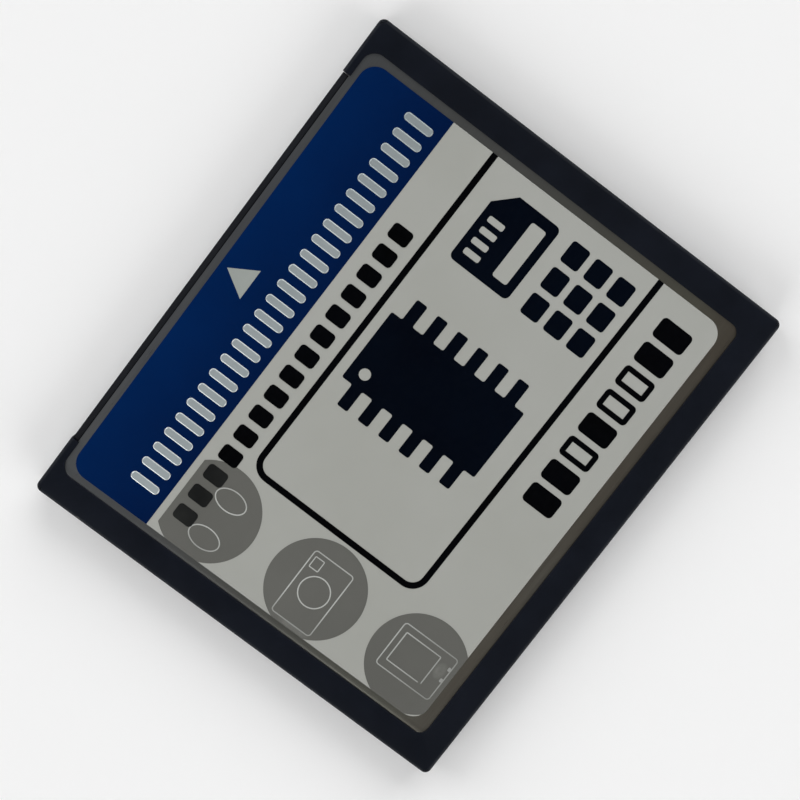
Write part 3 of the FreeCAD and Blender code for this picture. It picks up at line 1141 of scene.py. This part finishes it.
# %% [markdown]
# Perforations. A row of black rounded blocks, like the edge of a film strip, runs between band and border.
# The first blocks look as if they lay under the grey of the upper disc, so they get the veiled ink and are a
# piece of their own.

# %% Perforations
perforation_count = 15
perforation_width = 1.25
perforation_corner = 0.3
perforation_back, perforation_front = 7.05, 8.75
perforation_left, perforation_right = -17.0, 10.3
veiled_count = 3

veiled_row = bmesh.new()
open_row = bmesh.new()
starts = starts_in_row(perforation_count, perforation_left, perforation_right, perforation_width)
for number, left in enumerate(starts):
    row = veiled_row if number < veiled_count else open_row
    right = left + perforation_width
    rounded_plate(row, left, right, perforation_back, perforation_front, perforation_corner)
turn_print(veiled_row)
turn_print(open_row)
add_plates(veiled_row, "veiled_perforations", veiled_ink, ink_bottom, last_ink_top)
add_plates(open_row, "perforations", black_ink, ink_bottom, last_ink_top)

# %% [markdown]
# The large symbol is a memory chip seen from above. Its outline starts as a grid one cell wide. Every second
# edge of both long sides is extruded outwards into a leg, and the cells are dissolved into one face, whose
# corners are then rounded a little.

# %% The chip symbol
chip_left, chip_right = -1.1, 4.9
chip_back, chip_front = -7.24, 5.01
leg_count = 6
leg_length = 1.85
chip_corner = 0.16
chip_corner_steps = 4
side_tolerance = 1e-4
straight_angle = math.radians(1)

chip = bmesh.new()
grid = bmesh.ops.create_grid(chip, x_segments=1, y_segments=2 * leg_count + 1, size=0.5)["verts"]
bmesh.ops.scale(chip, vec=(chip_right - chip_left, chip_front - chip_back, 1), verts=grid)
bmesh.ops.translate(chip, vec=((chip_left + chip_right) / 2, (chip_back + chip_front) / 2, 0), verts=grid)
for side, outward in ((chip_left, -leg_length), (chip_right, leg_length)):
    edges = [edge for edge in chip.edges if all(abs(end.co.x - side) < side_tolerance for end in edge.verts)]
    edges.sort(key=lambda edge: edge.verts[0].co.y + edge.verts[1].co.y)
    legs = bmesh.ops.extrude_edge_only(chip, edges=edges[1::2])["geom"]
    tips = [part for part in legs if isinstance(part, bmesh.types.BMVert)]
    bmesh.ops.translate(chip, vec=(outward, 0, 0), verts=tips)
bmesh.ops.dissolve_limit(chip, angle_limit=straight_angle, verts=chip.verts, edges=chip.edges)
round_corners(chip, list(chip.verts), chip_corner, chip_corner_steps)
turn_print(chip)
add_plates(chip, "chip_symbol", navy_ink, ink_bottom, ink_top)

# %% [markdown]
# Beside it stands a small card with a cut corner. The cut is a bevel of one point in a single step.

# %% The card symbol
symbol_left, symbol_right = 10.60, 17.10
card_back, card_front = -1.08, 4.23
card_cut = 1.5
card_corner = 0.45

card = bmesh.new()
corners = rectangle(card, symbol_left, symbol_right, card_back, card_front)
cut_corner = max(corners, key=lambda corner: corner.co.x + corner.co.y)
round_corners(card, [corner for corner in corners if corner != cut_corner], card_corner)
cut_corner = max(card.verts, key=lambda corner: corner.co.x + corner.co.y)
round_corners(card, [cut_corner], card_cut, 1)
turn_print(card)
add_plates(card, "card_symbol", navy_ink, ink_bottom, ink_top)

# %% [markdown]
# Behind the card lies a block of memory cells, as wide as the card. Two loops place the cells.

# %% The cell symbol
cells_back, cells_front = -8.05, -2.27
cells_a_side = 3
cell_gap = 0.55
cell_corner = 0.25

cells_symbol = bmesh.new()
all_gaps = (cells_a_side - 1) * cell_gap
cell_width = (symbol_right - symbol_left - all_gaps) / cells_a_side
cell_length = (cells_front - cells_back - all_gaps) / cells_a_side
for left in starts_in_row(cells_a_side, symbol_left, symbol_right, cell_width):
    for back in starts_in_row(cells_a_side, cells_back, cells_front, cell_length):
        rounded_plate(cells_symbol, left, left + cell_width, back, back + cell_length, cell_corner)
turn_print(cells_symbol)
add_plates(cells_symbol, "cell_symbol", navy_ink, ink_bottom, ink_top)

# %% [markdown]
# Pale details inside a printed symbol would be left bare on a real label. Here they are a second pass in the
# film's own finish, over the black: four contacts and a window on the card, and the mark of the chip's first
# leg.

# %% Pale details on the symbols
detail_margin = 0.85
strip_count = 4
strip_step = 0.95
strip_width = 0.5
strip_back, strip_front = card_front - 2.0, card_front - 0.6
strip_corner = 0.15
window_back, window_front = card_back + 0.7, card_back + 2.0
window_corner = 0.2
mark_place = (chip_left + 1.15, chip_front - 1.25)
mark_radius = 0.45

details = bmesh.new()
for number in range(strip_count):
    left = symbol_left + detail_margin + number * strip_step
    rounded_plate(details, left, left + strip_width, strip_back, strip_front, strip_corner)
rounded_plate(details, symbol_left + detail_margin, symbol_right - detail_margin, window_back, window_front,
              window_corner)
disc(details, *mark_place, mark_radius, segments=40)
turn_print(details)
add_plates(details, "symbol_details", white_film, ink_bottom, over_ink_top)

# %% [markdown]
# The bit row stands for one byte: eight cells, some full and some open. Open cells are outlines, made in the
# same way as the line drawings.

# %% The bit row
bit_left, bit_right = -0.2, 16.8
bit_back, bit_front = -13.6, -10.9
bit_count = 8
bit_gap = 0.5
bit_line = 0.42
bit_corner = 0.35
full_bits = (0, 1, 3, 6, 7)

bits = bmesh.new()
bit_width = (bit_right - bit_left - (bit_count - 1) * bit_gap) / bit_count
for number, left in enumerate(starts_in_row(bit_count, bit_left, bit_right, bit_width)):
    face = rounded_plate(bits, left, left + bit_width, bit_back, bit_front, bit_corner)
    if number not in full_bits:
        keep_outline(bits, face, bit_line)
turn_print(bits)
add_plates(bits, "bit_row", black_ink, ink_bottom, ink_top)
